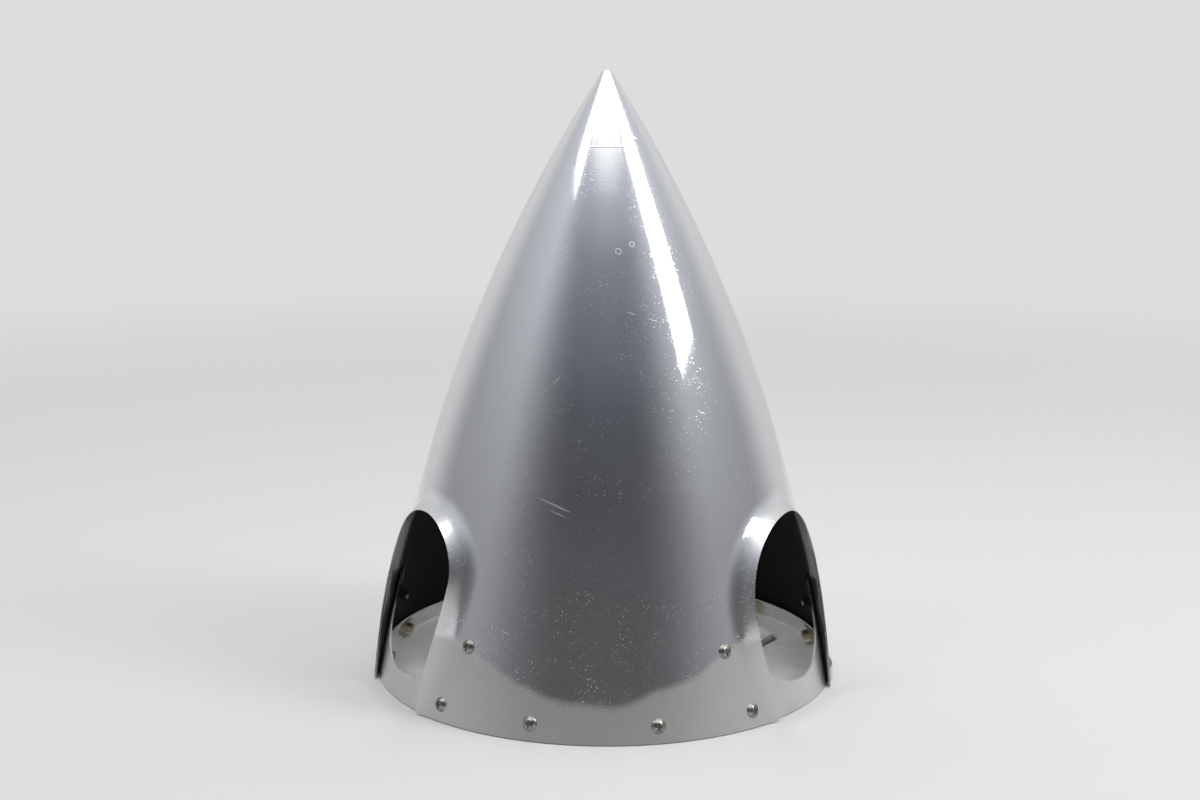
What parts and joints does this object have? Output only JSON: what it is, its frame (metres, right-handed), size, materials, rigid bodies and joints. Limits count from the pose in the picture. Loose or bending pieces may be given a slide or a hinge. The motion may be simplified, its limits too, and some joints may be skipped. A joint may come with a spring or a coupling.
{
  "type": "propeller spinner",
  "caption": "Pointed polished spinner for a three-blade aircraft propeller, with lipped blade openings, filler plates, a bulkhead pan and screws.",
  "frame": {"origin": "On the spin axis, in the plane of the aft rim and of the bulkhead's aft face, at the centre of the hub bolt circle.", "axes": "+Z runs forward along the spin axis to the tip. One blade axis points along +Y, and the others lie 120 degrees either side of it, so -Y is the middle of a plain sector between two blade openings."},
  "size_m": [0.356, 0.3542, 0.457],
  "materials": {
    "polished_shell": "hand polished, with fine curved polishing scratches, specks and small marks",
    "bulkhead_sheet": "plain satin sheet, slightly dull",
    "filler_sheet": "satin sheet, lightly worn",
    "screw_steel": "plated, tarnished in the recess and round the edge",
    "nutplate_steel": "yellowish plated",
    "rivet_metal": "plain"
  },
  "bodies": {
    "root": {"spinner_shell": "polished_shell", "bulkhead": "bulkhead_sheet", "filler_plate_1": "filler_sheet", "filler_plate_2": "filler_sheet", "filler_plate_3": "filler_sheet", "base_screw_1": "screw_steel", "base_screw_2": "screw_steel", "base_screw_3": "screw_steel", "base_screw_4": "screw_steel", "base_screw_5": "screw_steel", "base_screw_6": "screw_steel", "base_screw_7": "screw_steel", "base_screw_8": "screw_steel", "base_screw_9": "screw_steel", "base_screw_10": "screw_steel", "base_screw_11": "screw_steel", "base_screw_12": "screw_steel", "upper_screw_1": "screw_steel", "upper_screw_2": "screw_steel", "upper_screw_3": "screw_steel", "upper_screw_4": "screw_steel", "upper_screw_5": "screw_steel", "upper_screw_6": "screw_steel", "base_nutplate_1": "nutplate_steel", "base_nutplate_2": "nutplate_steel", "base_nutplate_3": "nutplate_steel", "base_nutplate_4": "nutplate_steel", "base_nutplate_5": "nutplate_steel", "base_nutplate_6": "nutplate_steel", "base_nutplate_7": "nutplate_steel", "base_nutplate_8": "nutplate_steel", "base_nutplate_9": "nutplate_steel", "base_nutplate_10": "nutplate_steel", "base_nutplate_11": "nutplate_steel", "base_nutplate_12": "nutplate_steel", "upper_nutplate_1": "nutplate_steel", "upper_nutplate_2": "nutplate_steel", "upper_nutplate_3": "nutplate_steel", "upper_nutplate_4": "nutplate_steel", "upper_nutplate_5": "nutplate_steel", "upper_nutplate_6": "nutplate_steel", "filler_rivets_1": "rivet_metal", "filler_rivets_2": "rivet_metal", "filler_rivets_3": "rivet_metal"}
  },
  "joints": []
}
